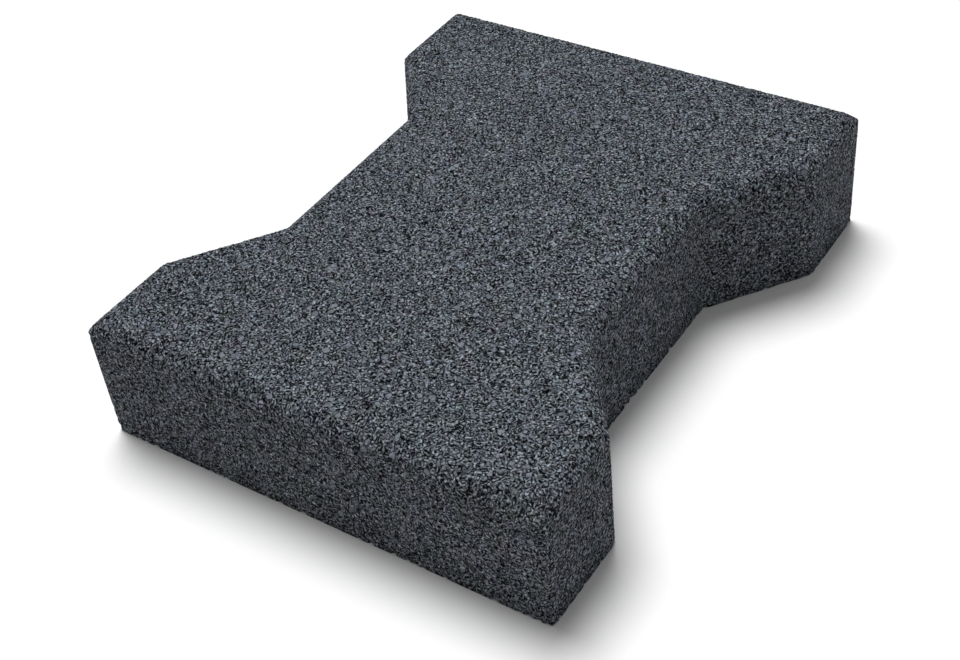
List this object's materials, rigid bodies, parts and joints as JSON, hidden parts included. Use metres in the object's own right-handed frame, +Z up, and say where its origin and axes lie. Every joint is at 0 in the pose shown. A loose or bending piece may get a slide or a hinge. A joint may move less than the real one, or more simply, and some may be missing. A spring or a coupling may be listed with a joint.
{
  "type": "rubber paving tile",
  "caption": "Double-T interlocking paving tile pressed from rubber granulate, with wide heads, a narrow waist, a bevel round the tread and a flat underside.",
  "frame": {"origin": "on the ground, under the middle of the tile", "axes": "+X across the tile, +Y along it from head to head, +Z up out of the tread"},
  "size_m": [0.16, 0.2, 0.045],
  "materials": {
    "rubber_granulate": "matte bonded granulate, blue-grey"
  },
  "bodies": {
    "root": {"paving_tile": "rubber_granulate"}
  },
  "joints": []
}
